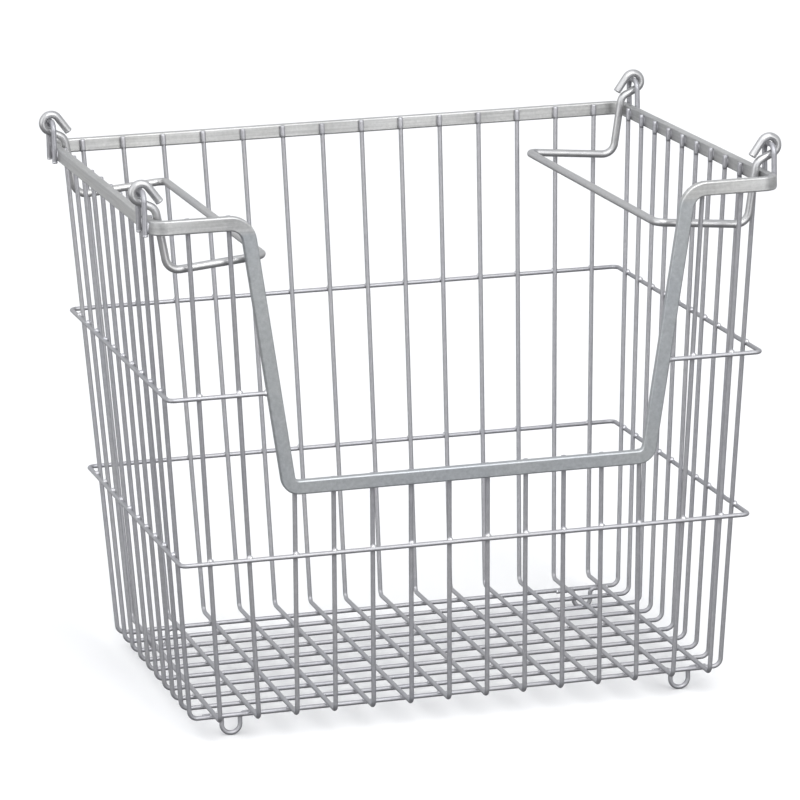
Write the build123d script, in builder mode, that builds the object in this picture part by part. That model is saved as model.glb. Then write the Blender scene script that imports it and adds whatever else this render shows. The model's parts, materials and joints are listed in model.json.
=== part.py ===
from build123d import *
import os
from math import acos, atan2, cos, degrees, hypot, radians, sin, tan

# A wire produce basket on four wire feet. Its flat-bar rim dips at the front round a scoop
# opening, and two bails swing in eyes on the side rims, to carry another basket on top.
# Millimetres, +Z up. The origin is on the floor under the middle, and the scoop faces -Y.

# Rim: one flat bar standing on edge, level at the back and sides
RIM_WIDTH = 380.0
RIM_DEPTH = 299.4
RIM_TOP = 323.3
RIM_CORNER = 10.0
BAR_HEIGHT = 8.5
BAR_THICKNESS = 4.5
BAR_EDGE = 1.0

# Scoop: the same bar, dipping in the plane of the leaning front wall.
# The two X values are where the straight runs would meet, in the bar's middle.
SCOOP_TOP_X = 133.5
SCOOP_DIP_X = 110.0
SCOOP_DIP_Z = 157.7
SCOOP_TOP_BEND = 12.0
SCOOP_DIP_BEND = 7.0
TWIST_FROM_X = 178.0
TWIST_TO_X = 146.0

# Wall and base wires
WIRE = 2.8
BASE_Z = 13.0
END_BELOW_BAR_TOP = 1.0
CROSSWISE_END_BELOW = 1.8
WELD_BITE = 0.03

# Lengthwise wires: front to back, lying on the crosswise ones
LENGTHWISE_COUNT = 14
LENGTHWISE_BASE_Y = 121.2
LENGTHWISE_BASE_PITCH = 23.45
LENGTHWISE_BACK_PITCH = 25.9
LENGTHWISE_SCOOP_PITCH = 23.53
LENGTHWISE_BEND = 4.0
# The outer two wires each side rise past the scoop to the rim; X at the top, from the middle out
FRONT_TALL_X = (143.45, 167.6)

# Crosswise wires: side to side
CROSSWISE_COUNT = 10
CROSSWISE_BASE_X = 166.3
CROSSWISE_BASE_PITCH = 22.4
CROSSWISE_RIM_PITCH = 26.8
CROSSWISE_BEND = 5.0

# Hoops round the outside of the walls
HOOP_WIRE = 2.7
UPPER_HOOP_Z = 216.0
LOWER_HOOP_Z = 115.0
HOOP_BEND = 4.0
HOOP_BUTT = 0.3

# Eyes welded to the outer face of the side rims. The left pair and its bail sit a little
# forward of the middle, and the right pair as far back: one pattern, turned half round.
EYE_WIRE = 3.2
EYE_Y = 129.0
EYE_SHIFT = 4.0
EYE_SPAN = 16.5
EYE_RISE = 15.45
EYE_BEND = 5.0
EYE_BELOW_BAR = 0.8
LINE_BITE = 0.01

# Bails: heights are measured from the top of the rim
BAIL_WIRE = 4.8
HOOK_RADIUS = 5.3
HOOK_X = 191.4
HOOK_RISE = 14.5
HOOK_TIP_X = 180.8
HOOK_TIP_RISE = 8.8
HOOK_LEAVES_AT = -65.0
NECK_X = 183.5
NECK_BEND = 6.5
KNEE_X = 177.3
KNEE_DROP = 32.2
KNEE_BEND = 8.0
ROD_X = 120.5
ROD_DROP = 27.0
ROD_BEND = 6.0

# Feet: a loop down to the floor with a tab each side
FOOT_X = 140.8
FOOT_SPAN = 11.3
FOOT_TAB_REACH = 17.0
FOOT_LOOP_BEND = 5.5
FOOT_TAB_BEND = 3.0

# Heights and offsets that follow
BAR_MID_Z = RIM_TOP - BAR_HEIGHT / 2
WIRE_END_Z = RIM_TOP - END_BELOW_BAR_TOP
CROSSWISE_END_Z = RIM_TOP - CROSSWISE_END_BELOW
LENGTHWISE_Z = BASE_Z + WIRE - WELD_BITE
RIM_X = (RIM_WIDTH - BAR_THICKNESS) / 2
RIM_Y = (RIM_DEPTH - BAR_THICKNESS) / 2
BAR_TO_WIRE = (BAR_THICKNESS + WIRE) / 2


def lean_to_bar(base_offset, base_z, bar_offset):
    """Lean from vertical of a wall whose wires touch the inner face of the bar at its mid height."""
    rise = BAR_MID_Z - base_z
    lean = atan2(bar_offset - BAR_TO_WIRE - base_offset, rise)
    return atan2(bar_offset - BAR_TO_WIRE / cos(lean) - base_offset, rise)


END_LEAN = lean_to_bar(LENGTHWISE_BASE_Y, LENGTHWISE_Z, RIM_Y)
SIDE_LEAN = lean_to_bar(CROSSWISE_BASE_X, BASE_Z, RIM_X)


def end_wall_y(z):
    """Distance from the middle to the lengthwise wires at height z."""
    return LENGTHWISE_BASE_Y + (z - LENGTHWISE_Z) * tan(END_LEAN)


def side_wall_x(z):
    """Distance from the middle to the crosswise wires at height z."""
    return CROSSWISE_BASE_X + (z - BASE_Z) * tan(SIDE_LEAN)


def save(part, name):
    """Label a finished piece and write it under its own name."""
    part.label = name
    export_step(part, f"parts/{name}.step")


def wire_section(path, diameter):
    """The round section of a wire at the start of its path."""
    with BuildSketch(Plane(origin=path @ 0, z_dir=path % 0)) as section:
        Circle(diameter / 2)
    return section.sketch


def save_wire(name, path, diameter):
    """One bent wire, swept along its path."""
    with BuildPart() as wire:
        sweep(wire_section(path, diameter), path=path)
    save(wire.part, name)


os.makedirs("parts", exist_ok=True)

# Rim bar: one half, then its mirror image
up_front_wall = Vector(0, -sin(END_LEAN), cos(END_LEAN))
front_wall = Plane(
    origin=(0, -end_wall_y(BAR_MID_Z) - BAR_TO_WIRE / cos(END_LEAN), BAR_MID_Z),
    x_dir=(1, 0, 0),
    z_dir=(0, -cos(END_LEAN), -sin(END_LEAN)),
)
scoop_drop = (BAR_MID_Z - SCOOP_DIP_Z) / cos(END_LEAN)

with BuildPart() as rim_bar:
    with BuildLine(Plane.XY.offset(BAR_MID_Z)) as level_run:
        FilletPolyline(
            (0, RIM_Y),
            (RIM_X, RIM_Y),
            (RIM_X, -RIM_Y),
            (TWIST_FROM_X, -RIM_Y),
            radius=RIM_CORNER - BAR_THICKNESS / 2,
        )
    with BuildSketch(Plane(origin=level_run.line @ 0, x_dir=(0, 0, 1), z_dir=(1, 0, 0))):
        RectangleRounded(BAR_HEIGHT, BAR_THICKNESS, BAR_EDGE)
    sweep(path=level_run.wire())
    with BuildLine(front_wall) as scoop_run:
        FilletPolyline(
            (TWIST_TO_X, 0),
            (SCOOP_TOP_X, 0),
            (SCOOP_DIP_X, -scoop_drop),
            (0, -scoop_drop),
            radius=[SCOOP_TOP_BEND, SCOOP_DIP_BEND],
        )
    with BuildSketch(Plane(origin=scoop_run.line @ 0, x_dir=up_front_wall, z_dir=(-1, 0, 0))):
        RectangleRounded(BAR_HEIGHT, BAR_THICKNESS, BAR_EDGE)
    sweep(path=scoop_run.wire())
    # The short twist that takes the upright bar over to the leaning front wall
    with BuildSketch(Plane(origin=level_run.line @ 1, x_dir=(0, 0, 1), z_dir=(-1, 0, 0))):
        RectangleRounded(BAR_HEIGHT, BAR_THICKNESS, BAR_EDGE)
    with BuildSketch(Plane(origin=scoop_run.line @ 0, x_dir=up_front_wall, z_dir=(-1, 0, 0))):
        RectangleRounded(BAR_HEIGHT, BAR_THICKNESS, BAR_EDGE)
    loft()
    mirror(about=Plane.YZ)
save(rim_bar.part, "rim_bar")

# Lengthwise wires, left to right
for number in range(LENGTHWISE_COUNT):
    steps = number - (LENGTHWISE_COUNT - 1) / 2
    side = 1 if steps > 0 else -1
    from_middle = min(number, LENGTHWISE_COUNT - 1 - number)
    front_z = WIRE_END_Z
    if from_middle < len(FRONT_TALL_X):
        front_x = side * FRONT_TALL_X[len(FRONT_TALL_X) - 1 - from_middle]
    else:
        front_x = steps * LENGTHWISE_SCOOP_PITCH
        front_z = SCOOP_DIP_Z + BAR_HEIGHT / 2 - END_BELOW_BAR_TOP
    with BuildLine() as run:
        FilletPolyline(
            (steps * LENGTHWISE_BACK_PITCH, end_wall_y(WIRE_END_Z), WIRE_END_Z),
            (steps * LENGTHWISE_BASE_PITCH, LENGTHWISE_BASE_Y, LENGTHWISE_Z),
            (steps * LENGTHWISE_BASE_PITCH, -LENGTHWISE_BASE_Y, LENGTHWISE_Z),
            (front_x, -end_wall_y(front_z), front_z),
            radius=LENGTHWISE_BEND,
        )
    save_wire(f"lengthwise_wire_{number + 1:02d}", run.wire(), WIRE)

# Crosswise wires, front to back
for number in range(CROSSWISE_COUNT):
    steps = number - (CROSSWISE_COUNT - 1) / 2
    with BuildLine() as run:
        FilletPolyline(
            (-side_wall_x(CROSSWISE_END_Z), steps * CROSSWISE_RIM_PITCH, CROSSWISE_END_Z),
            (-CROSSWISE_BASE_X, steps * CROSSWISE_BASE_PITCH, BASE_Z),
            (CROSSWISE_BASE_X, steps * CROSSWISE_BASE_PITCH, BASE_Z),
            (side_wall_x(CROSSWISE_END_Z), steps * CROSSWISE_RIM_PITCH, CROSSWISE_END_Z),
            radius=CROSSWISE_BEND,
        )
    save_wire(f"crosswise_wire_{number + 1:02d}", run.wire(), WIRE)

# Hoops: each is half a turn and its mirror image. The upper one stops at the scoop's slopes.
slope_run = (SCOOP_TOP_X - SCOOP_DIP_X) / (BAR_MID_Z - SCOOP_DIP_Z)
slope_middle = SCOOP_DIP_X + (UPPER_HOOP_Z - SCOOP_DIP_Z) * slope_run
slope_outer_edge = slope_middle + BAR_HEIGHT / 2 * hypot(1, slope_run)
hoop_gap = (WIRE + HOOP_WIRE) / 2
for name, height, front_end in (
    ("upper_hoop", UPPER_HOOP_Z, slope_outer_edge - HOOP_BUTT),
    ("lower_hoop", LOWER_HOOP_Z, 0),
):
    hoop_x = side_wall_x(height) + hoop_gap / cos(SIDE_LEAN) - WELD_BITE
    hoop_y = end_wall_y(height) + hoop_gap / cos(END_LEAN) - WELD_BITE
    with BuildLine(Plane.XY.offset(height)) as half_turn:
        FilletPolyline(
            (0, hoop_y),
            (hoop_x, hoop_y),
            (hoop_x, -hoop_y),
            (front_end, -hoop_y),
            radius=HOOP_BEND,
        )
    with BuildPart() as hoop:
        sweep(wire_section(half_turn.wire(), HOOP_WIRE), path=half_turn.wire())
        mirror(about=Plane.YZ)
    save(hoop.part, name)

# Eyes and feet, one of each at every corner
EYE_X = RIM_WIDTH / 2 + EYE_WIRE / 2 - LINE_BITE
EYE_TOP = RIM_TOP + EYE_RISE
EYE_END = RIM_TOP - BAR_HEIGHT - EYE_BELOW_BAR
FOOT_Y = CROSSWISE_BASE_PITCH * (CROSSWISE_COUNT - 1) / 2 - WIRE + LINE_BITE
for end_name, end in (("front", -1), ("back", 1)):
    for side_name, side in (("left", -1), ("right", 1)):
        eye_y = end * EYE_Y + side * EYE_SHIFT
        with BuildLine(Plane.YZ.offset(side * EYE_X)) as eye_path:
            FilletPolyline(
                (eye_y - EYE_SPAN / 2, EYE_END),
                (eye_y - EYE_SPAN / 2, EYE_TOP),
                (eye_y + EYE_SPAN / 2, EYE_TOP),
                (eye_y + EYE_SPAN / 2, EYE_END),
                radius=EYE_BEND,
            )
        save_wire(f"eye_{end_name}_{side_name}", eye_path.wire(), EYE_WIRE)
        with BuildLine(Plane.XZ.offset(-end * FOOT_Y)) as foot_path:
            FilletPolyline(
                (side * FOOT_X - FOOT_TAB_REACH, BASE_Z),
                (side * FOOT_X - FOOT_SPAN / 2, BASE_Z),
                (side * FOOT_X - FOOT_SPAN / 2, WIRE / 2),
                (side * FOOT_X + FOOT_SPAN / 2, WIRE / 2),
                (side * FOOT_X + FOOT_SPAN / 2, BASE_Z),
                (side * FOOT_X + FOOT_TAB_REACH, BASE_Z),
                radius=[FOOT_TAB_BEND, FOOT_LOOP_BEND, FOOT_LOOP_BEND, FOOT_TAB_BEND],
            )
        save_wire(f"foot_{end_name}_{side_name}", foot_path.wire(), WIRE)

# Bails: from the hook's tip over the eye, down the rim's inner face and in to the rod.
# Half of the right one is made and mirrored, and the left one is the same bail turned half round.
tip_away = hypot(HOOK_X - HOOK_TIP_X, HOOK_RISE - HOOK_TIP_RISE)
tip_bearing = degrees(atan2(HOOK_TIP_RISE - HOOK_RISE, HOOK_TIP_X - HOOK_X)) % 360
hook_starts_at = tip_bearing - degrees(acos(HOOK_RADIUS / tip_away))
neck_slope = -1 / tan(radians(HOOK_LEAVES_AT))
neck_rise = (
    HOOK_RISE
    + HOOK_RADIUS * sin(radians(HOOK_LEAVES_AT))
    + (NECK_X - HOOK_X - HOOK_RADIUS * cos(radians(HOOK_LEAVES_AT))) * neck_slope
)
with BuildLine(Plane.XZ.offset(EYE_Y - EYE_SHIFT)) as half_bail:
    curl = CenterArc(
        (HOOK_X, RIM_TOP + HOOK_RISE), HOOK_RADIUS, hook_starts_at, HOOK_LEAVES_AT - hook_starts_at
    )
    Line((HOOK_TIP_X, RIM_TOP + HOOK_TIP_RISE), curl @ 0)
    FilletPolyline(
        curl @ 1,
        (NECK_X, RIM_TOP + neck_rise),
        (KNEE_X, RIM_TOP - KNEE_DROP),
        (ROD_X, RIM_TOP - ROD_DROP),
        (ROD_X, RIM_TOP - ROD_DROP, -EYE_Y),
        radius=[NECK_BEND, KNEE_BEND, ROD_BEND],
    )
with BuildPart() as right_bail:
    bail_path = half_bail.wire()
    sweep(wire_section(bail_path, BAIL_WIRE), path=bail_path)
    mirror(about=Plane.XZ.offset(-EYE_SHIFT))
save(right_bail.part, "right_bail")
with BuildPart() as left_bail:
    add(right_bail.part, rotation=(0, 0, 180))
save(left_bail.part, "left_bail")
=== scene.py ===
import json
import random
from math import atan2, cos, pi, sin, tan

import bmesh
import bpy
from mathutils import Matrix, Vector, noise


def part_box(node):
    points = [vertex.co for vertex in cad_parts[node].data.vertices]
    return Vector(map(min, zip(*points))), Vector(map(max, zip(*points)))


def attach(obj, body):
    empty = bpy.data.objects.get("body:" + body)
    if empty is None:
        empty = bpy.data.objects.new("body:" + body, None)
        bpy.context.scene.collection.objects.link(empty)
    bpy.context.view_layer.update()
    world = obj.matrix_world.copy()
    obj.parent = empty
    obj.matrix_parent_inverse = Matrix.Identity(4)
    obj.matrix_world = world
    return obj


# The looks of the wire produce basket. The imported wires, bar, hoops, eyes, feet and bails keep
# their shapes and get a silver coat. Every spot weld and every cut wire end is made here.

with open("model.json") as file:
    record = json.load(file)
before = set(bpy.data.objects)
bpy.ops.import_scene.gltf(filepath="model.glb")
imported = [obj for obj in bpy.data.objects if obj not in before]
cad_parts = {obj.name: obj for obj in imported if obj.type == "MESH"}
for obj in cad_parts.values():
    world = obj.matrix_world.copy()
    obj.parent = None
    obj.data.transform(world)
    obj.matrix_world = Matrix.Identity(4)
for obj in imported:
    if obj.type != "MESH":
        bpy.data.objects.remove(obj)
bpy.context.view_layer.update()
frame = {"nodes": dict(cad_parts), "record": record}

MM = 0.001

# ---------------------------------------------------------------- the CAD model's sizes, in mm
# Rim bar and the scoop opening in it
RIM_WIDTH = 380.0
RIM_DEPTH = 299.4
RIM_TOP = 323.3
BAR_HEIGHT = 8.5
BAR_THICKNESS = 4.5
SCOOP_TOP_X = 133.5
SCOOP_DIP_X = 110.0
SCOOP_DIP_Z = 157.7

# Wall and base wires
WIRE = 2.8
BASE_Z = 13.0
END_BELOW_BAR_TOP = 1.0
CROSSWISE_END_BELOW = 1.8
WELD_BITE = 0.03

# Lengthwise wires: the outer two each side rise past the scoop to the rim
LENGTHWISE_COUNT = 14
LENGTHWISE_BASE_Y = 121.2
LENGTHWISE_BASE_PITCH = 23.45
LENGTHWISE_BACK_PITCH = 25.9
LENGTHWISE_SCOOP_PITCH = 23.53
FRONT_TALL_X = (143.45, 167.6)

# Crosswise wires
CROSSWISE_COUNT = 10
CROSSWISE_BASE_X = 166.3
CROSSWISE_BASE_PITCH = 22.4
CROSSWISE_RIM_PITCH = 26.8

# Hoops, eyes and the bails' hooks
HOOP_WIRE = 2.7
UPPER_HOOP_Z = 216.0
LOWER_HOOP_Z = 115.0
EYE_WIRE = 3.2
BAIL_WIRE = 4.8
HOOK_TIP_X = 180.8
HOOK_TIP_RISE = 8.8
# Which way the right bail's tips point, in X and Z
HOOK_TIP_WAY = (-0.582, -0.813)

# Heights and offsets that follow
RIM_X = (RIM_WIDTH - BAR_THICKNESS) / 2
RIM_Y = (RIM_DEPTH - BAR_THICKNESS) / 2
BAR_MID_Z = RIM_TOP - BAR_HEIGHT / 2
BAR_TO_WIRE = (BAR_THICKNESS + WIRE) / 2
LENGTHWISE_Z = BASE_Z + WIRE - WELD_BITE
WIRE_END_Z = RIM_TOP - END_BELOW_BAR_TOP
CROSSWISE_END_Z = RIM_TOP - CROSSWISE_END_BELOW
DIP_WIRE_END_Z = SCOOP_DIP_Z + BAR_HEIGHT / 2 - END_BELOW_BAR_TOP

# ---------------------------------------------------------------- welds and wire ends, in mm
# Half sizes of the beads
BASE_WELD = (1.75, 1.75, 0.85)
HOOP_WELD = (1.95, 1.75, 1.8)
SCOOP_WELD = (1.5, 1.75, 2.0)
RIM_WELD = (1.75, 0.6, 3.4)
EYE_WELD = (2.0, 0.7, 3.9)
FOOT_WELD = (1.9, 0.6, 1.25)

# How beads vary, as shares of their size
BASE_WELD_SIZES = (0.9, 1.15)
HOOP_WELD_SIZES = (0.92, 1.1)
BASE_LUMPS = 0.16
LUMPS = 0.2
SCOOP_LUMPS = 0.22
FOOT_LUMPS = 0.24

# Where beads sit
HOOP_WELD_LIFTS = (1.0, 1.35)
HOOP_WELD_OUT = 0.6
SCOOP_WELD_GAP = 0.3
BAR_WELD_DROP = 0.3
FOOT_WELDS_INWARD = (1.8, 7.2)

# Cut ends: how far each face stands out
EYE_CUT = 0.5
FOOT_CUT = 0.45
BAIL_CUT = 0.55
# How broad they are both ways, as shares of the wire: a sheared thin wire is a little oval
SHEARED = (1.05, 1.0)
ROUND = (1.01, 1.01)
# Their profile: (height as a share of how far they stand out, radius as a share of the wire's)
CUT_PROFILE = ((-1.6, 1.0), (-0.8, 1.012), (0.1, 1.02), (0.55, 0.95), (0.85, 0.78), (1.0, 0.4))
CUT_SIDES = 18
CUT_UNEVEN = 0.03

# Pressed ends on the rim bar, and how far each wall's stand past the wires' own ends
PRESSED_LENGTH = 7.2
PRESSED_SIDES = 24
PRESSED_BROAD = (1.05, 1.12)
PRESSED_UNEVEN = 0.05
RIDGE_AT = 0.66
RIDGE_WIDTH = 0.3
RIDGE_HEIGHT = 0.13
END_WALL_RISE = 0.5
LEFT_WALL_RISE = 0.4
RIGHT_WALL_RISE = 1.3
RISE_VARIES = (-0.25, 0.3)

# Fineness of a bead's mesh, and of the noise that makes beads and wire ends uneven
BEAD_DETAIL = 2
BEAD_WAVE = 1.3
CUT_WAVE = 1.1
PRESSED_WAVE = 0.5
NOISE_REACH = 90

WORLD_AXES = ((1, 0, 0), (0, 1, 0), (0, 0, 1))

rng = random.Random(11)


# ---------------------------------------------------------------- where the wires run
def lean_to_bar(base_offset, base_z, bar_offset):
    """Lean of a wall whose wires touch the inner face of the bar at its mid height."""
    rise = BAR_MID_Z - base_z
    lean = atan2(bar_offset - BAR_TO_WIRE - base_offset, rise)
    return atan2(bar_offset - BAR_TO_WIRE / cos(lean) - base_offset, rise)


END_LEAN = lean_to_bar(LENGTHWISE_BASE_Y, LENGTHWISE_Z, RIM_Y)
SIDE_LEAN = lean_to_bar(CROSSWISE_BASE_X, BASE_Z, RIM_X)


def end_wall_y(z):
    """Distance from the middle to the lengthwise wires at height z."""
    return LENGTHWISE_BASE_Y + (z - LENGTHWISE_Z) * tan(END_LEAN)


def side_wall_x(z):
    """Distance from the middle to the crosswise wires at height z."""
    return CROSSWISE_BASE_X + (z - BASE_Z) * tan(SIDE_LEAN)


def steps_from_middle(number, count):
    """Place of one wire in an evenly spaced row, counted in pitches from the middle."""
    return number - (count - 1) / 2


class Leg:
    """The straight run of a wall wire, from the corner at its foot to its end at the top."""

    def __init__(self, foot, top, out):
        self.foot = Vector(foot)
        self.top = Vector(top)
        self.up = (self.top - self.foot).normalized()
        self.out = Vector(out).normalized()
        self.side = self.up.cross(self.out).normalized()
        self.reaches_rim = self.top.z > SCOOP_DIP_Z + BAR_HEIGHT

    def at(self, z):
        """The middle of the wire at height z."""
        return self.foot.lerp(self.top, (z - self.foot.z) / (self.top.z - self.foot.z))


def lengthwise_legs():
    """Legs of the lengthwise wires, left to right, on the back wall and on the front one."""
    back, front = [], []
    for number in range(LENGTHWISE_COUNT):
        steps = steps_from_middle(number, LENGTHWISE_COUNT)
        side = 1 if steps > 0 else -1
        from_edge = min(number, LENGTHWISE_COUNT - 1 - number)
        base_x = steps * LENGTHWISE_BASE_PITCH
        if from_edge < len(FRONT_TALL_X):
            front_x = side * FRONT_TALL_X[len(FRONT_TALL_X) - 1 - from_edge]
            front_z = WIRE_END_Z
        else:
            front_x = steps * LENGTHWISE_SCOOP_PITCH
            front_z = DIP_WIRE_END_Z
        back.append(Leg(
            (base_x, LENGTHWISE_BASE_Y, LENGTHWISE_Z),
            (steps * LENGTHWISE_BACK_PITCH, end_wall_y(WIRE_END_Z), WIRE_END_Z),
            (0, cos(END_LEAN), -sin(END_LEAN)),
        ))
        front.append(Leg(
            (base_x, -LENGTHWISE_BASE_Y, LENGTHWISE_Z),
            (front_x, -end_wall_y(front_z), front_z),
            (0, -cos(END_LEAN), -sin(END_LEAN)),
        ))
    return back, front


def crosswise_legs():
    """Legs of the crosswise wires, front to back, on the left wall and on the right one."""
    left, right = [], []
    for number in range(CROSSWISE_COUNT):
        steps = steps_from_middle(number, CROSSWISE_COUNT)
        for side, legs in ((-1, left), (1, right)):
            legs.append(Leg(
                (side * CROSSWISE_BASE_X, steps * CROSSWISE_BASE_PITCH, BASE_Z),
                (side * side_wall_x(CROSSWISE_END_Z), steps * CROSSWISE_RIM_PITCH, CROSSWISE_END_Z),
                (side * cos(SIDE_LEAN), 0, -sin(SIDE_LEAN)),
            ))
    return left, right


BACK_LEGS, FRONT_LEGS = lengthwise_legs()
LEFT_LEGS, RIGHT_LEGS = crosswise_legs()


# ---------------------------------------------------------------- beads and wire ends
def noise_seed():
    """A random place in the noise, so that no two lumps are alike."""
    return Vector([rng.uniform(0, NOISE_REACH) for _ in range(3)])


def bead(mesh, at, axes, halves, lumps=LUMPS):
    """A lumpy weld bead: axes are its three directions and halves its half sizes."""
    turn = Matrix(axes).transposed()
    seed = noise_seed()
    for vert in bmesh.ops.create_icosphere(mesh, subdivisions=BEAD_DETAIL, radius=1)["verts"]:
        swell = 1 + lumps * noise.noise(vert.co * BEAD_WAVE + seed)
        local = Vector(c * h * swell for c, h in zip(vert.co, halves))
        vert.co = (Vector(at) + turn @ local) * MM


def skin(mesh, rows):
    """Closes a stack of rings of vertices into a solid."""
    count = len(rows[0])
    for low, high in zip(rows, rows[1:]):
        for step in range(count):
            after = (step + 1) % count
            mesh.faces.new((low[step], low[after], high[after], high[step]))
    mesh.faces.new(reversed(rows[0]))
    mesh.faces.new(rows[-1])


def cut_end(mesh, at, axes, radius, stands_out, broad=SHEARED):
    """The coated end of a cut wire: a soft shoulder and a slightly domed face.

    The third of the axes points out of the wire's end.
    """
    first, second, up = (Vector(axis) for axis in axes)
    wide, thick = broad
    seed = noise_seed()
    rows = []
    for lift, share in CUT_PROFILE:
        height = lift * stands_out
        row = []
        for step in range(CUT_SIDES):
            angle = 2 * pi * step / CUT_SIDES
            way = Vector((cos(angle), sin(angle), height))
            grow = 1 + CUT_UNEVEN * noise.noise(way * CUT_WAVE + seed)
            point = Vector(at) + first * cos(angle) * (radius * share * wide) * grow
            point += second * sin(angle) * (radius * share * thick) * grow + up * height
            row.append(mesh.verts.new(point * MM))
        rows.append(row)
    skin(mesh, rows)


def pressed_end(mesh, leg, rise):
    """A wire's end as the welding electrode leaves it: broadened, with a ridge down each side."""
    seed = rng.uniform(0, NOISE_REACH)
    broad = rng.uniform(*PRESSED_BROAD)
    profile = (
        (-PRESSED_LENGTH, 0.97),
        (-PRESSED_LENGTH + 1.4, 1.04),
        (-PRESSED_LENGTH / 2, 1.08),
        (-0.8, 1.08),
        (rise - 0.35, 1.05),
        (rise - 0.1, 0.92),
        (rise, 0.6),
    )
    rows = []
    for along, swell in profile:
        row = []
        for step in range(PRESSED_SIDES):
            angle = 2 * pi * step / PRESSED_SIDES
            ridge = 0.0
            if sin(angle) < 0:
                ridge = max(0.0, 1 - abs(abs(cos(angle)) - RIDGE_AT) / RIDGE_WIDTH)
            lumps = noise.noise((cos(angle) + seed, sin(angle), along * PRESSED_WAVE))
            grow = swell * (1 + RIDGE_HEIGHT * ridge + PRESSED_UNEVEN * lumps)
            point = leg.top + leg.side * cos(angle) * WIRE / 2 * grow * broad
            point += leg.out * sin(angle) * WIRE / 2 * grow + leg.up * along
            row.append(mesh.verts.new(point * MM))
        rows.append(row)
    skin(mesh, rows)


# ---------------------------------------------------------------- what each piece is made of
def base_welds(mesh):
    """Where each lengthwise wire lies on each crosswise one."""
    length, width, height = BASE_WELD
    z = (BASE_Z + LENGTHWISE_Z) / 2
    for along in range(LENGTHWISE_COUNT):
        x = steps_from_middle(along, LENGTHWISE_COUNT) * LENGTHWISE_BASE_PITCH
        for across in range(CROSSWISE_COUNT):
            y = steps_from_middle(across, CROSSWISE_COUNT) * CROSSWISE_BASE_PITCH
            size = rng.uniform(*BASE_WELD_SIZES)
            bead(mesh, (x, y, z), WORLD_AXES, (length * size, width * size, height), BASE_LUMPS)


def hoop_weld(mesh, leg, z):
    """The flash squeezed out where a hoop is pressed on to a wall wire, most of it on top."""
    lift = rng.uniform(*HOOP_WELD_LIFTS)
    at = leg.at(z) + leg.out * (WIRE / 2 + HOOP_WELD_OUT) + leg.up * lift
    size = rng.uniform(*HOOP_WELD_SIZES)
    length, depth, height = HOOP_WELD
    bead(mesh, at, (leg.side, leg.out, leg.up), (length * size, depth, height * size))


def upper_hoop_welds(mesh):
    """The upper hoop on the wires that it passes, and its two ends on the scoop's slopes."""
    for leg in BACK_LEGS + LEFT_LEGS + RIGHT_LEGS:
        hoop_weld(mesh, leg, UPPER_HOOP_Z)
    for leg in FRONT_LEGS:
        if leg.reaches_rim:
            hoop_weld(mesh, leg, UPPER_HOOP_Z)
    slope_run = (SCOOP_TOP_X - SCOOP_DIP_X) / (BAR_MID_Z - SCOOP_DIP_Z)
    slope_middle = SCOOP_DIP_X + (UPPER_HOOP_Z - SCOOP_DIP_Z) * slope_run
    weld_x = slope_middle + BAR_HEIGHT / 2 + SCOOP_WELD_GAP
    weld_y = -end_wall_y(UPPER_HOOP_Z) - (WIRE + HOOP_WIRE) / 2
    for side in (-1, 1):
        bead(mesh, (side * weld_x, weld_y, UPPER_HOOP_Z), WORLD_AXES, SCOOP_WELD, SCOOP_LUMPS)


def lower_hoop_welds(mesh):
    """The lower hoop on every wall wire."""
    for leg in BACK_LEGS + FRONT_LEGS + LEFT_LEGS + RIGHT_LEGS:
        hoop_weld(mesh, leg, LOWER_HOOP_Z)


def rim_welds(mesh):
    """The strip of weld behind each wire end on the bar, and the wire's own pressed end."""
    walls = (
        (BACK_LEGS, END_WALL_RISE),
        (FRONT_LEGS, END_WALL_RISE),
        (LEFT_LEGS, LEFT_WALL_RISE),
        (RIGHT_LEGS, RIGHT_WALL_RISE),
    )
    for legs, rise in walls:
        for leg in legs:
            bar_z = BAR_MID_Z if leg.reaches_rim else SCOOP_DIP_Z
            at = leg.at(bar_z - BAR_WELD_DROP) + leg.out * WIRE / 2
            bead(mesh, at, (leg.side, leg.out, leg.up), RIM_WELD)
            pressed_end(mesh, leg, rise + rng.uniform(*RISE_VARIES))


def eye_welds(mesh, eye_box, side):
    """The two legs of an eye on the outer face of the side rim, and their cut ends."""
    low, high = (corner / MM for corner in eye_box)
    face_x = side * (RIM_X + BAR_THICKNESS / 2)
    leg_x = (low.x + high.x) / 2
    weld_axes = ((0, 1, 0), (side, 0, 0), (0, 0, 1))
    cut_axes = ((0, 1, 0), (side, 0, 0), (0, 0, -1))
    for y in (low.y + EYE_WIRE / 2, high.y - EYE_WIRE / 2):
        bead(mesh, (face_x, y, BAR_MID_Z - BAR_WELD_DROP), weld_axes, EYE_WELD)
        cut_end(mesh, (leg_x, y, low.z), cut_axes, EYE_WIRE / 2, EYE_CUT)


def foot_welds(mesh, foot_box, end):
    """The two tabs of a foot, welded along the first or last crosswise wire."""
    low, high = (corner / MM for corner in foot_box)
    wire_y = end * CROSSWISE_BASE_PITCH * (CROSSWISE_COUNT - 1) / 2
    tab_y = (low.y + high.y) / 2
    for side, tip_x in ((-1, low.x), (1, high.x)):
        cut_axes = ((0, 1, 0), (0, 0, 1), (side, 0, 0))
        cut_end(mesh, (tip_x, tab_y, BASE_Z), cut_axes, WIRE / 2, FOOT_CUT)
        for inward in FOOT_WELDS_INWARD:
            at = (tip_x - side * inward, (wire_y + tab_y) / 2, BASE_Z)
            bead(mesh, at, WORLD_AXES, FOOT_WELD, FOOT_LUMPS)


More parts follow.
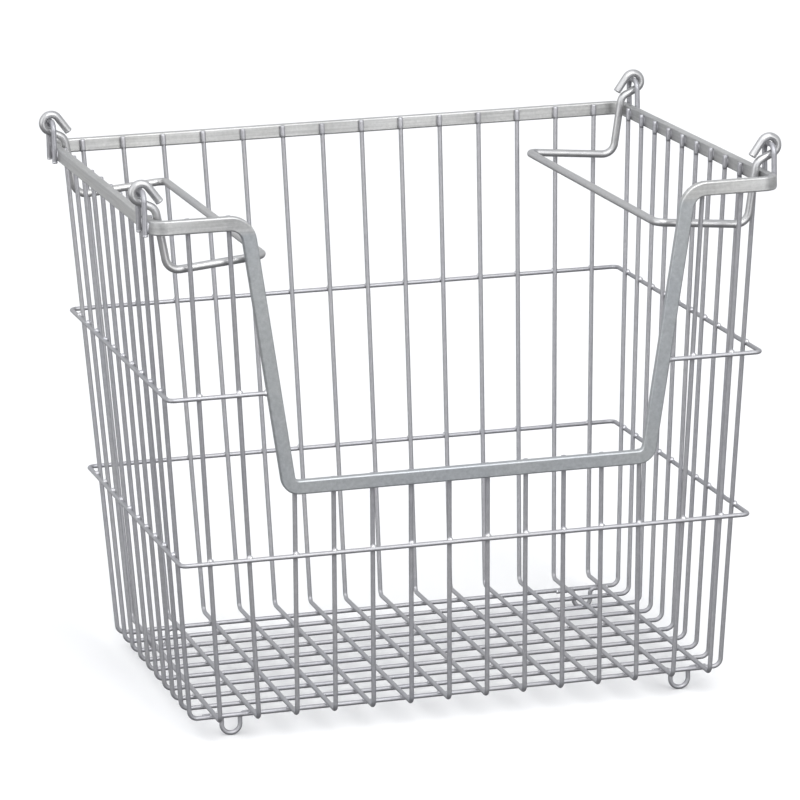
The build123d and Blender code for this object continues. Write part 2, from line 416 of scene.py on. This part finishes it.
def bail_ends(mesh, bail_box, side):
    """The cut faces of a bail's two hooks."""
    low, high = (corner / MM for corner in bail_box)
    way = Vector((side * HOOK_TIP_WAY[0], 0, HOOK_TIP_WAY[1]))
    across = Vector((0, 1, 0))
    cut_axes = (across, across.cross(way), way)
    for y in (low.y + BAIL_WIRE / 2, high.y - BAIL_WIRE / 2):
        tip = (side * HOOK_TIP_X, y, RIM_TOP + HOOK_TIP_RISE)
        cut_end(mesh, tip, cut_axes, BAIL_WIRE / 2, BAIL_CUT, ROUND)


# ---------------------------------------------------------------- shader nodes
# Sockets of the Mix node that work on colours, by number because their names repeat
MIX_FACTOR = 0
MIX_FIRST = 6
MIX_SECOND = 7
MIX_RESULT = 2


def add(tree, kind, settings=None, **inputs):
    """A new node, with its settings and the values of its inputs."""
    made = tree.nodes.new(kind)
    for key, value in (settings or {}).items():
        setattr(made, key, value)
    for key, value in inputs.items():
        made.inputs[key.replace("_", " ")].default_value = value
    return made


def noise_pattern(tree, place, scale, detail, roughness=0.5):
    """Soft noise at a place."""
    made = add(tree, "ShaderNodeTexNoise", Scale=scale, Detail=detail, Roughness=roughness)
    tree.links.new(place, made.inputs["Vector"])
    return made.outputs["Fac"]


def ramp(tree, source, stops):
    """A colour for each value: stops are (value, colour)."""
    made = tree.nodes.new("ShaderNodeValToRGB")
    tree.links.new(source, made.inputs["Fac"])
    elements = made.color_ramp.elements
    while len(elements) < len(stops):
        elements.new(0.5)
    for element, (place, colour) in zip(elements, stops):
        element.position = place
        element.color = (*colour, 1)
    return made.outputs["Color"]


def mix(tree, how, amount, first, second):
    """Two colours blended, by a number or by another node's value."""
    made = add(tree, "ShaderNodeMix", {"data_type": "RGBA", "blend_type": how})
    if isinstance(amount, float):
        made.inputs[MIX_FACTOR].default_value = amount
    else:
        tree.links.new(amount, made.inputs[MIX_FACTOR])
    tree.links.new(first, made.inputs[MIX_FIRST])
    tree.links.new(second, made.inputs[MIX_SECOND])
    return made.outputs[MIX_RESULT]


def times(tree, source, factor):
    """A value multiplied by a number."""
    made = add(tree, "ShaderNodeMath", {"operation": "MULTIPLY"})
    tree.links.new(source, made.inputs[0])
    made.inputs[1].default_value = factor
    return made.outputs[0]


def map_range(tree, source, **limits):
    """A value taken from one range to another."""
    made = add(tree, "ShaderNodeMapRange", **limits)
    tree.links.new(source, made.inputs["Value"])
    return made.outputs["Result"]


# ---------------------------------------------------------------- silver coats
# Scales of the patterns, per metre
DRIFT_SCALE = 14.0
SCUFF_SCALE = 26.0
PEEL_SCALE = 950.0
FLAKE_SCALE = 1700.0

CLEAR_WEIGHT = 0.18
CLEAR_ROUGHNESS = 0.3
DRIFT = [(0.3, (0.93, 0.935, 0.95)), (0.7, (1.0, 0.995, 0.98))]
FLAKES = [(0.1, (0.86, 0.86, 0.87)), (0.9, (1.0, 1.0, 1.0))]
FLAKE_AMOUNT = 0.4
WORN = [(0.54, (0, 0, 0)), (0.78, (1, 1, 1))]
DULLED_DARK = 0.72
DULLED_MIDDLE = 0.84
WORN_ROUGHER = 0.12
PEEL_HEIGHT = 0.12 * MM

# Streaks on the level bar: long ones along it, many across it. Their colour is also painted light:
# warmer and brighter than the coat, it makes the bar's top lighter and warmer than its lower parts
STREAKS_ALONG = 18.0
STREAKS_ACROSS = 620.0
STREAK_AND_TOP_LIGHT_TINT = [(0.36, (0.99, 0.945, 0.895)), (0.62, (1.28, 1.222, 1.165))]
STREAK_AND_TOP_LIGHT_AMOUNT = 0.8
STREAK_AND_TOP_LIGHT_FADE = 4 * MM


def streaks_and_painted_top_light(tree, place, colour, above_z):
    """Faint lines along a level bar, left by rolling it flat, that fade out below a height. Their
    colour also paints light: warmer and brighter than the coat, it makes the bar's top lighter and
    warmer than the cooler, darker parts below.
    """
    stretch = add(tree, "ShaderNodeMapping", Scale=(STREAKS_ALONG, STREAKS_ALONG, 1.0))
    tree.links.new(place, stretch.inputs["Vector"])
    split = tree.nodes.new("ShaderNodeSeparateXYZ")
    tree.links.new(stretch.outputs["Vector"], split.inputs[0])
    joined = tree.nodes.new("ShaderNodeCombineXYZ")
    tree.links.new(split.outputs["X"], joined.inputs["X"])
    tree.links.new(split.outputs["Y"], joined.inputs["Y"])
    tree.links.new(times(tree, split.outputs["Z"], STREAKS_ACROSS), joined.inputs["Z"])
    lines = noise_pattern(tree, joined.outputs["Vector"], 1.0, 3.0, 0.6)
    # Painted light: above this height the bar's colour is made lighter and warmer; below it keeps
    # the coat's cooler, darker tone
    level = map_range(
        tree, split.outputs["Z"],
        From_Min=above_z - STREAK_AND_TOP_LIGHT_FADE, From_Max=above_z, To_Max=STREAK_AND_TOP_LIGHT_AMOUNT,
    )
    return mix(tree, "MULTIPLY", level, colour, ramp(tree, lines, STREAK_AND_TOP_LIGHT_TINT))


def silver_coat(name, dark, light, mottle, metallic, rough, relief, scuffs, streaks_and_top_light_above=None):
    """A satin metallic coat: flakes, soft mottling, dull scuffs and a fine orange-peel surface,
    and, given a height, rolled streaks with painted light that makes the part above it lighter and
    warmer.

    mottle is the mottling's scale per metre, rough its two roughnesses, and scuffs how far
    the worn patches are dulled.
    """
    material = bpy.data.materials.new(name)
    material.use_nodes = True
    tree = material.node_tree
    shader = tree.nodes["Principled BSDF"]
    shader.inputs["Metallic"].default_value = metallic
    shader.inputs["Coat Weight"].default_value = CLEAR_WEIGHT
    shader.inputs["Coat Roughness"].default_value = CLEAR_ROUGHNESS
    place = tree.nodes.new("ShaderNodeTexCoord").outputs["Object"]
    mottling = noise_pattern(tree, place, mottle, 4.0, 0.62)
    worn = ramp(tree, noise_pattern(tree, place, SCUFF_SCALE, 4.0, 0.55), WORN)

    # Colour: mottling, slow drift, flakes, the dulled scuffs, then on the bar the streaks and the
    # painted lighter, warmer top
    middle = tuple((d + l) / 2 for d, l in zip(dark, light))
    colour = ramp(tree, mottling, [(0.3, dark), (0.52, middle), (0.72, light)])
    drift = ramp(tree, noise_pattern(tree, place, DRIFT_SCALE, 3.0), DRIFT)
    colour = mix(tree, "MULTIPLY", 1.0, colour, drift)
    flakes = add(tree, "ShaderNodeTexVoronoi", Scale=FLAKE_SCALE)
    tree.links.new(place, flakes.inputs["Vector"])
    sparkle = ramp(tree, flakes.outputs["Color"], FLAKES)
    colour = mix(tree, "MULTIPLY", FLAKE_AMOUNT, colour, sparkle)
    dull_dark = tuple(DULLED_DARK * d for d in dark)
    dull_middle = tuple(DULLED_MIDDLE * m for m in middle)
    dull = ramp(tree, mottling, [(0.3, dull_dark), (0.7, dull_middle)])
    colour = mix(tree, "MIX", times(tree, worn, scuffs), colour, dull)
    # On the bar: rolled streaks, and painted light that makes its top lighter and warmer
    if streaks_and_top_light_above is not None:
        colour = streaks_and_painted_top_light(tree, place, colour, streaks_and_top_light_above)
    tree.links.new(colour, shader.inputs["Base Color"])

    # Roughness: follows the mottling, and is higher where worn
    smooth, coarse = rough
    spread = map_range(tree, mottling, From_Min=0.3, From_Max=0.7, To_Min=smooth, To_Max=coarse)
    rougher = add(tree, "ShaderNodeMath", {"operation": "MULTIPLY_ADD"})
    tree.links.new(worn, rougher.inputs[0])
    rougher.inputs[1].default_value = WORN_ROUGHER
    tree.links.new(spread, rougher.inputs[2])
    tree.links.new(rougher.outputs[0], shader.inputs["Roughness"])

    # Relief: orange peel and mottling together
    height = add(tree, "ShaderNodeMath", {"operation": "ADD"})
    tree.links.new(noise_pattern(tree, place, PEEL_SCALE, 2.0), height.inputs[0])
    tree.links.new(mottling, height.inputs[1])
    bump = add(tree, "ShaderNodeBump", Strength=relief, Distance=PEEL_HEIGHT)
    tree.links.new(height.outputs[0], bump.inputs["Height"])
    tree.links.new(bump.outputs["Normal"], shader.inputs["Normal"])
    return material


WIRE_COAT = silver_coat(
    "wire_silver",
    dark=(0.4, 0.4, 0.42),
    light=(0.48, 0.48, 0.5),
    mottle=330.0,
    metallic=0.7,
    rough=(0.42, 0.5),
    relief=0.04,
    scuffs=0.2,
)
# The bar's cool bluish grey is partly painted light: it stands for the cool light on the scoop's
# slopes and dip, while its top is painted lighter and warmer by the streaks
BAR_COAT = silver_coat(
    "bar_silver",
    dark=(0.405, 0.423, 0.435),
    light=(0.517, 0.538, 0.551),
    mottle=420.0,
    metallic=0.72,
    rough=(0.34, 0.5),
    relief=0.15,
    scuffs=0.3,
    streaks_and_top_light_above=(RIM_TOP - BAR_HEIGHT) * MM,
)
BAIL_COAT = silver_coat(
    "bail_silver",
    dark=(0.48, 0.48, 0.485),
    light=(0.55, 0.55, 0.545),
    mottle=160.0,
    metallic=0.72,
    rough=(0.32, 0.38),
    relief=0.01,
    scuffs=0.15,
)
# Painted highlight: the weld beads' coat is lighter than the wire coat, so the beads show as bright
# dots
WELD_COAT_PAINTED_HIGHLIGHT = silver_coat(
    "weld_silver_painted_highlight",
    dark=(0.6, 0.6, 0.62),
    light=(0.76, 0.76, 0.78),
    mottle=700.0,
    metallic=0.72,
    rough=(0.24, 0.34),
    relief=0.1,
    scuffs=0.1,
)

COAT_OF_SLOT = {"wire": WIRE_COAT, "rim_bar": BAR_COAT, "eye": WIRE_COAT, "bail": BAIL_COAT}
for part in frame["record"]["subparts"]:
    node = frame["nodes"][part["node"]]
    node.data.materials.clear()
    node.data.materials.append(COAT_OF_SLOT[part["material_slot"]])


# ---------------------------------------------------------------- the pieces
def piece(name, body, slot, material, build, *where):
    """A new object that rides on a CAD body, with the mesh that build() fills in."""
    mesh = bmesh.new()
    build(mesh, *where)
    bmesh.ops.recalc_face_normals(mesh, faces=mesh.faces)
    data = bpy.data.meshes.new(name)
    mesh.to_mesh(data)
    mesh.free()
    data.polygons.foreach_set("use_smooth", [True] * len(data.polygons))
    data.materials.append(material)
    made = bpy.data.objects.new(name, data)
    bpy.context.scene.collection.objects.link(made)
    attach(made, body)


piece("base_welds", "basket", "wire", WELD_COAT_PAINTED_HIGHLIGHT, base_welds)
piece("upper_hoop_welds", "basket", "wire", WELD_COAT_PAINTED_HIGHLIGHT, upper_hoop_welds)
piece("lower_hoop_welds", "basket", "wire", WELD_COAT_PAINTED_HIGHLIGHT, lower_hoop_welds)
piece("rim_welds", "basket", "wire", WIRE_COAT, rim_welds)
for end_name, end in (("front", -1), ("back", 1)):
    for side_name, side in (("left", -1), ("right", 1)):
        corner = f"{end_name}_{side_name}"
        eye_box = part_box(f"eye_{corner}")
        foot_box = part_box(f"foot_{corner}")
        piece(f"eye_welds_{corner}", "basket", "eye", WELD_COAT_PAINTED_HIGHLIGHT, eye_welds, eye_box, side)
        piece(f"foot_welds_{corner}", "basket", "wire", WELD_COAT_PAINTED_HIGHLIGHT, foot_welds, foot_box, end)
for side_name, side in (("left", -1), ("right", 1)):
    body = f"{side_name}_bail"
    bail_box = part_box(f"{side_name}_bail")
    piece(f"{side_name}_bail_ends", body, "bail", BAIL_COAT, bail_ends, bail_box, side)


# ---------------------------------------------------------------- lights and world, in metres
# Soft suns: name, where each shines from, strength and apparent width in radians
SUNS = (
    ("key", (0.1, -1.0, 0.7), 1.0, 0.5),
    ("top", (-0.3, -0.1, 1.0), 0.95, 1.4),
    ("left", (-1.0, -0.45, 0.25), 0.85, 0.9),
    ("fill", (0.27, -0.94, 0.02), 0.5, 0.6),
    ("behind", (-0.25, 0.93, 0.06), 0.07, 0.7),
)
SOFT_BOX_SIZE = 0.6
SOFT_BOX_POWER = 1.9
SOFT_BOX_AT = (0.05, -0.5, 0.75)
SOFT_BOX_AIM = (0, 0, 0.3)

# Colours all round the object, from straight down to straight up
SKY = [
    (0.0, (0.16, 0.16, 0.17)),
    (0.32, (0.3, 0.3, 0.32)),
    (0.44, (0.8, 0.81, 0.82)),
    (0.62, (0.95, 0.96, 0.98)),
    (1.0, (0.7, 0.72, 0.76)),
]
SKY_STRENGTH = 0.75


def aim_light(name, data, at, aim):
    """A light at a place, turned to shine towards another."""
    made = bpy.data.objects.new(name, data)
    made.location = at
    made.rotation_euler = (Vector(aim) - Vector(at)).to_track_quat("-Z", "Y").to_euler()
    bpy.context.scene.collection.objects.link(made)


for name, at, strength, width in SUNS:
    sun = bpy.data.lights.new(name, "SUN")
    sun.energy = strength
    sun.angle = width
    aim_light(name, sun, at, (0, 0, 0))
soft_box = bpy.data.lights.new("near_box", "AREA")
soft_box.size = SOFT_BOX_SIZE
soft_box.energy = SOFT_BOX_POWER
aim_light("near_box", soft_box, SOFT_BOX_AT, SOFT_BOX_AIM)

world = bpy.data.worlds.new("studio")
world.use_nodes = True
bpy.context.scene.world = world
tree = world.node_tree
direction = tree.nodes.new("ShaderNodeTexCoord").outputs["Generated"]
split = tree.nodes.new("ShaderNodeSeparateXYZ")
tree.links.new(direction, split.inputs[0])
upward = map_range(tree, split.outputs["Z"], From_Min=-1.0, From_Max=1.0)
tree.links.new(ramp(tree, upward, SKY), tree.nodes["Background"].inputs["Color"])
tree.nodes["Background"].inputs["Strength"].default_value = SKY_STRENGTH


# ---------------------------------------------------------------- floor, in metres
FLOOR_HALF = 12.0
FLOOR_CELLS = 24
FIBRE_SCALE = 60.0
PAPER = [(0.3, (0.9, 0.9, 0.9)), (0.7, (0.93, 0.93, 0.93))]
PAPER_ROUGHNESS = 0.95


def pale_paper():
    """Matt white paper with a faint fibre."""
    material = bpy.data.materials.new("pale_paper")
    material.use_nodes = True
    tree = material.node_tree
    shader = tree.nodes["Principled BSDF"]
    fibre = add(tree, "ShaderNodeTexNoise", Scale=FIBRE_SCALE, Detail=4.0)
    tree.links.new(ramp(tree, fibre.outputs["Fac"], PAPER), shader.inputs["Base Color"])
    shader.inputs["Roughness"].default_value = PAPER_ROUGHNESS
    shader.inputs["Specular IOR Level"].default_value = 0.0
    return material


floor_mesh = bmesh.new()
bmesh.ops.create_grid(floor_mesh, x_segments=FLOOR_CELLS, y_segments=FLOOR_CELLS, size=FLOOR_HALF)
floor_data = bpy.data.meshes.new("floor")
floor_mesh.to_mesh(floor_data)
floor_mesh.free()
floor_data.materials.append(pale_paper())
floor = bpy.data.objects.new("floor", floor_data)
bpy.context.scene.collection.objects.link(floor)
# Diffuse and glossy rays pass through the floor, so the world lights the wires from below
floor.visible_diffuse = False
floor.visible_glossy = False


# ---------------------------------------------------------------- camera
# Its place in metres, its angles in radians, and its lens in millimetres
CAMERA_AT = (-0.75745, -2.76867, 0.82995)
CAMERA_YAW = 0.26536
CAMERA_PITCH = -0.22532
CAMERA_ROLL = -0.02394
CAMERA_LENS = 215.5
CAMERA_SENSOR = 36
CAMERA_SEES_TO = 60

forward = Vector((
    sin(CAMERA_YAW) * cos(CAMERA_PITCH),
    cos(CAMERA_YAW) * cos(CAMERA_PITCH),
    sin(CAMERA_PITCH),
))
level = Vector((cos(CAMERA_YAW), -sin(CAMERA_YAW), 0))
above = level.cross(forward)
right = cos(CAMERA_ROLL) * level + sin(CAMERA_ROLL) * above
top = cos(CAMERA_ROLL) * above - sin(CAMERA_ROLL) * level
turn = Matrix((right, top, -forward)).transposed().to_4x4()
camera_data = bpy.data.cameras.new("camera")
camera_data.lens = CAMERA_LENS
camera_data.sensor_width = CAMERA_SENSOR
camera_data.clip_end = CAMERA_SEES_TO
camera = bpy.data.objects.new("camera", camera_data)
camera.matrix_world = Matrix.Translation(CAMERA_AT) @ turn
bpy.context.scene.collection.objects.link(camera)
bpy.context.scene.camera = camera
bpy.context.scene.view_settings.view_transform = "Standard"
